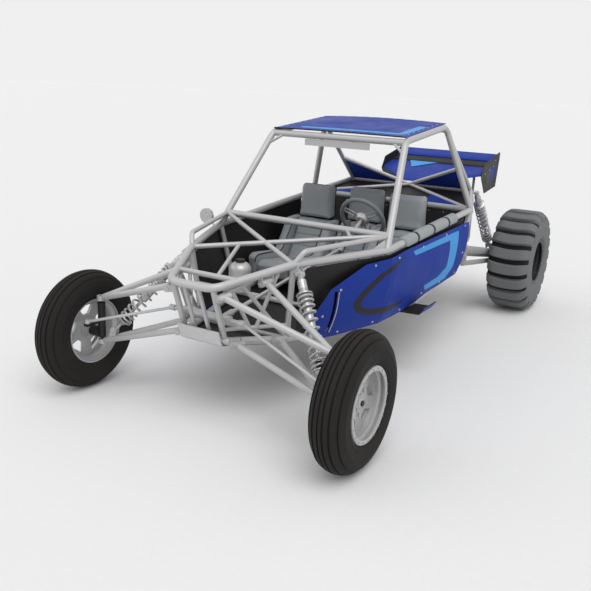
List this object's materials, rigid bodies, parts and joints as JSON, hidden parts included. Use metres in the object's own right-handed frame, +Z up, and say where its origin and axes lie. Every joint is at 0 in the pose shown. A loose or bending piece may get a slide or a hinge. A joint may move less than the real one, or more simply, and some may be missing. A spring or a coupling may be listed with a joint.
{
  "type": "tube-frame dune buggy",
  "caption": "Open sand buggy with a welded tube cage, long coil-sprung front arms, paddle rear tyres, blue side and roof panels, grey seats and a raked rear wing.",
  "frame": {"origin": "centre of the whole buggy's bounding box in plan, on the ground under the tyres", "axes": "+X is the car's left, +Y is rearwards and +Z is up; the car faces -Y"},
  "size_m": [1.932, 4.1439, 1.5712],
  "materials": {
    "frame_silver": "smooth silver powder coat on steel tube",
    "black_sheet": "satin black painted sheet",
    "blue_paint": "glossy deep blue paint",
    "skid_aluminium": "bright brushed sheet",
    "seat_grey": "grey vinyl with a fine grain",
    "engine_alloy": "cast alloy",
    "black_steel": "black painted steel",
    "shock_silver": "bright machined metal",
    "tyre_black": "matte black rubber",
    "tyre_grey": "dusty dark grey rubber",
    "rim_silver": "machined alloy",
    "rim_dark": "dark anodised alloy",
    "steering_grey": "soft grey grip",
    "column_silver": "bright steel tube",
    "fitting_silver": "polished alloy"
  },
  "bodies": {
    "chassis": {"rail_upper": "frame_silver", "rail_lower": "frame_silver", "cage_hoop_left": "frame_silver", "cage_hoop_right": "frame_silver", "cage_cross_tubes": "frame_silver", "frame_posts": "frame_silver", "nose_braces": "frame_silver", "hood_braces": "frame_silver", "cowl_gussets": "frame_silver", "rear_frame": "frame_silver", "front_upper_arms": "frame_silver", "front_lower_arms": "frame_silver", "trailing_arms": "frame_silver", "arm_brackets": "frame_silver", "rack_housing": "frame_silver", "shock_mounts": "frame_silver", "side_skins": "black_sheet", "floor_pan": "black_sheet", "firewall": "black_sheet", "rear_deck": "black_sheet", "side_steps": "black_sheet", "side_panels": "blue_paint", "roof_panel": "blue_paint", "engine_panels": "blue_paint", "rear_wing": "blue_paint", "skid_plate": "skid_aluminium", "front_seats": "seat_grey", "rear_seat": "seat_grey", "arm_rest": "seat_grey", "engine": "engine_alloy", "intake": "engine_alloy", "exhaust": "engine_alloy", "transaxle": "engine_alloy", "front_shocks": "shock_silver", "rear_shocks": "shock_silver", "steering_column": "column_silver", "cabin_mirror": "fitting_silver", "side_mirror": "fitting_silver", "reservoir": "fitting_silver"},
    "knuckle_left": {"knuckle_left": "black_steel"},
    "knuckle_right": {"knuckle_right": "black_steel"},
    "wheel_front_left": {"front_rim_left": "rim_silver", "front_tyre_left": "tyre_black"},
    "wheel_front_right": {"front_rim_right": "rim_silver", "front_tyre_right": "tyre_black"},
    "wheel_rear_left": {"rear_rim_left": "rim_dark", "rear_tyre_left": "tyre_grey"},
    "wheel_rear_right": {"rear_rim_right": "rim_dark", "rear_tyre_right": "tyre_grey"},
    "rack": {"steering_rack": "frame_silver"},
    "steering_wheel": {"steering_wheel": "steering_grey"}
  },
  "joints": [
    {"name": "steer_left", "type": "hinge", "parent": "chassis", "child": "knuckle_left", "pos_m": [0.752, -1.724, 0.405], "axis": [0, 0, 1], "range_deg": [-28, 28]},
    {"name": "steer_right", "type": "hinge", "parent": "chassis", "child": "knuckle_right", "pos_m": [-0.752, -1.724, 0.405], "axis": [0, 0, 1], "range_deg": [-28, 28]},
    {"name": "rack_slide", "type": "slide", "parent": "chassis", "child": "rack", "axis": [1, 0, 0], "range_m": [-0.052, 0.052]},
    {"name": "steering_turn", "type": "hinge", "parent": "chassis", "child": "steering_wheel", "pos_m": [0.315, -0.594, 1], "axis": [0, 0.8746, 0.4848], "range_deg": [-252, 252]},
    {"name": "wheel_front_left_spin", "type": "hinge", "parent": "knuckle_left", "child": "wheel_front_left", "pos_m": [0.876, -1.724, 0.348], "axis": [1, 0, 0], "continuous": true},
    {"name": "wheel_front_right_spin", "type": "hinge", "parent": "knuckle_right", "child": "wheel_front_right", "pos_m": [-0.876, -1.724, 0.348], "axis": [1, 0, 0], "continuous": true},
    {"name": "wheel_rear_left_spin", "type": "hinge", "parent": "chassis", "child": "wheel_rear_left", "pos_m": [0.752, 1.652, 0.42], "axis": [1, 0, 0], "continuous": true},
    {"name": "wheel_rear_right_spin", "type": "hinge", "parent": "chassis", "child": "wheel_rear_right", "pos_m": [-0.752, 1.652, 0.42], "axis": [1, 0, 0], "continuous": true}
  ],
  "couplings": [
    {"joint": "steer_right", "follows": "steer_left", "ratio": 1},
    {"joint": "rack_slide", "follows": "steer_left", "m_per_rad": 0.1057},
    {"joint": "steering_turn", "follows": "steer_left", "ratio": 9}
  ]
}
